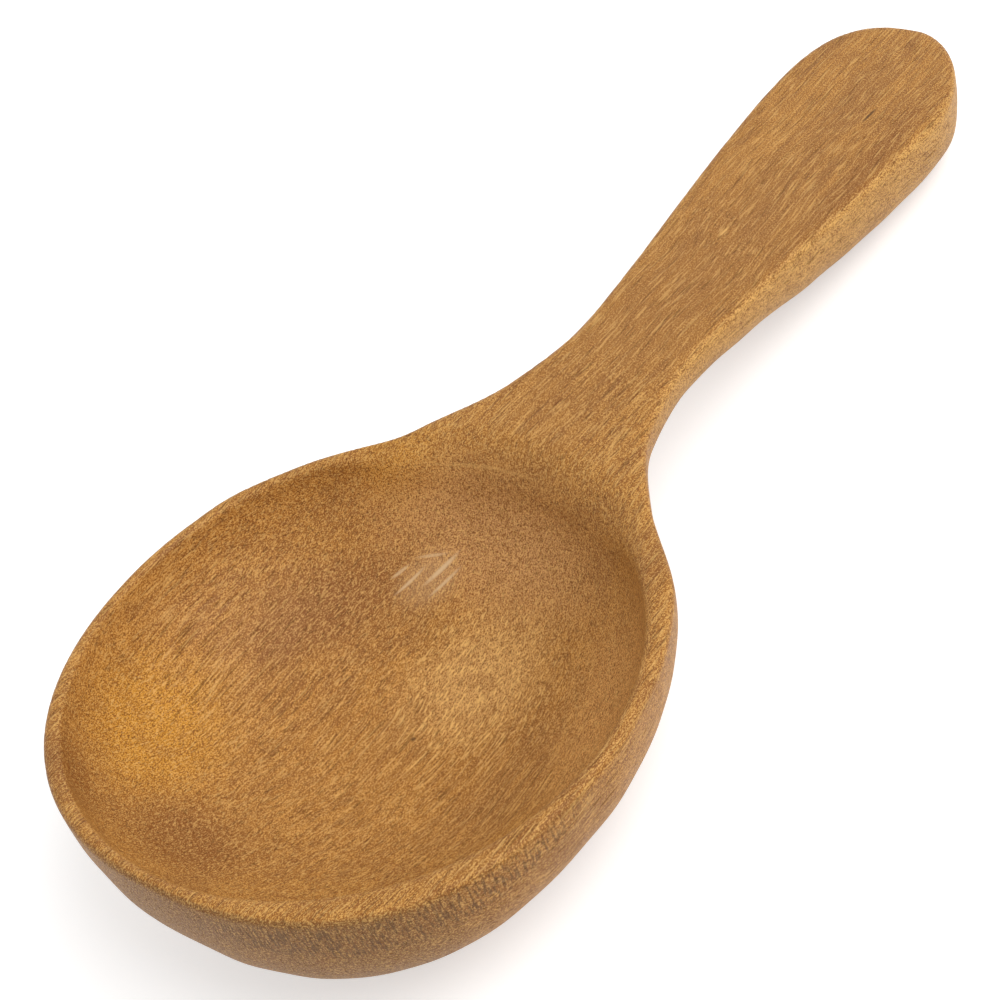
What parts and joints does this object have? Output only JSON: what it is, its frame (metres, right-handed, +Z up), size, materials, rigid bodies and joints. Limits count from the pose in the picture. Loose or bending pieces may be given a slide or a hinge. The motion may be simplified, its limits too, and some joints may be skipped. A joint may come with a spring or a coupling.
{
  "type": "measuring spoon",
  "caption": "Short wooden measuring spoon with a round bowl, a narrow neck and a flat-topped handle.",
  "frame": {"origin": "under the middle of the spoon's length, on the surface that it stands on", "axes": "+X along the spoon from the bowl's tip to the handle's end, +Z up, with the spoon leaning as it rests"},
  "size_m": [0.1092, 0.0498, 0.0178],
  "materials": {
    "wood": "oiled hardwood, satin"
  },
  "bodies": {
    "root": {"spoon": "wood"}
  },
  "joints": []
}
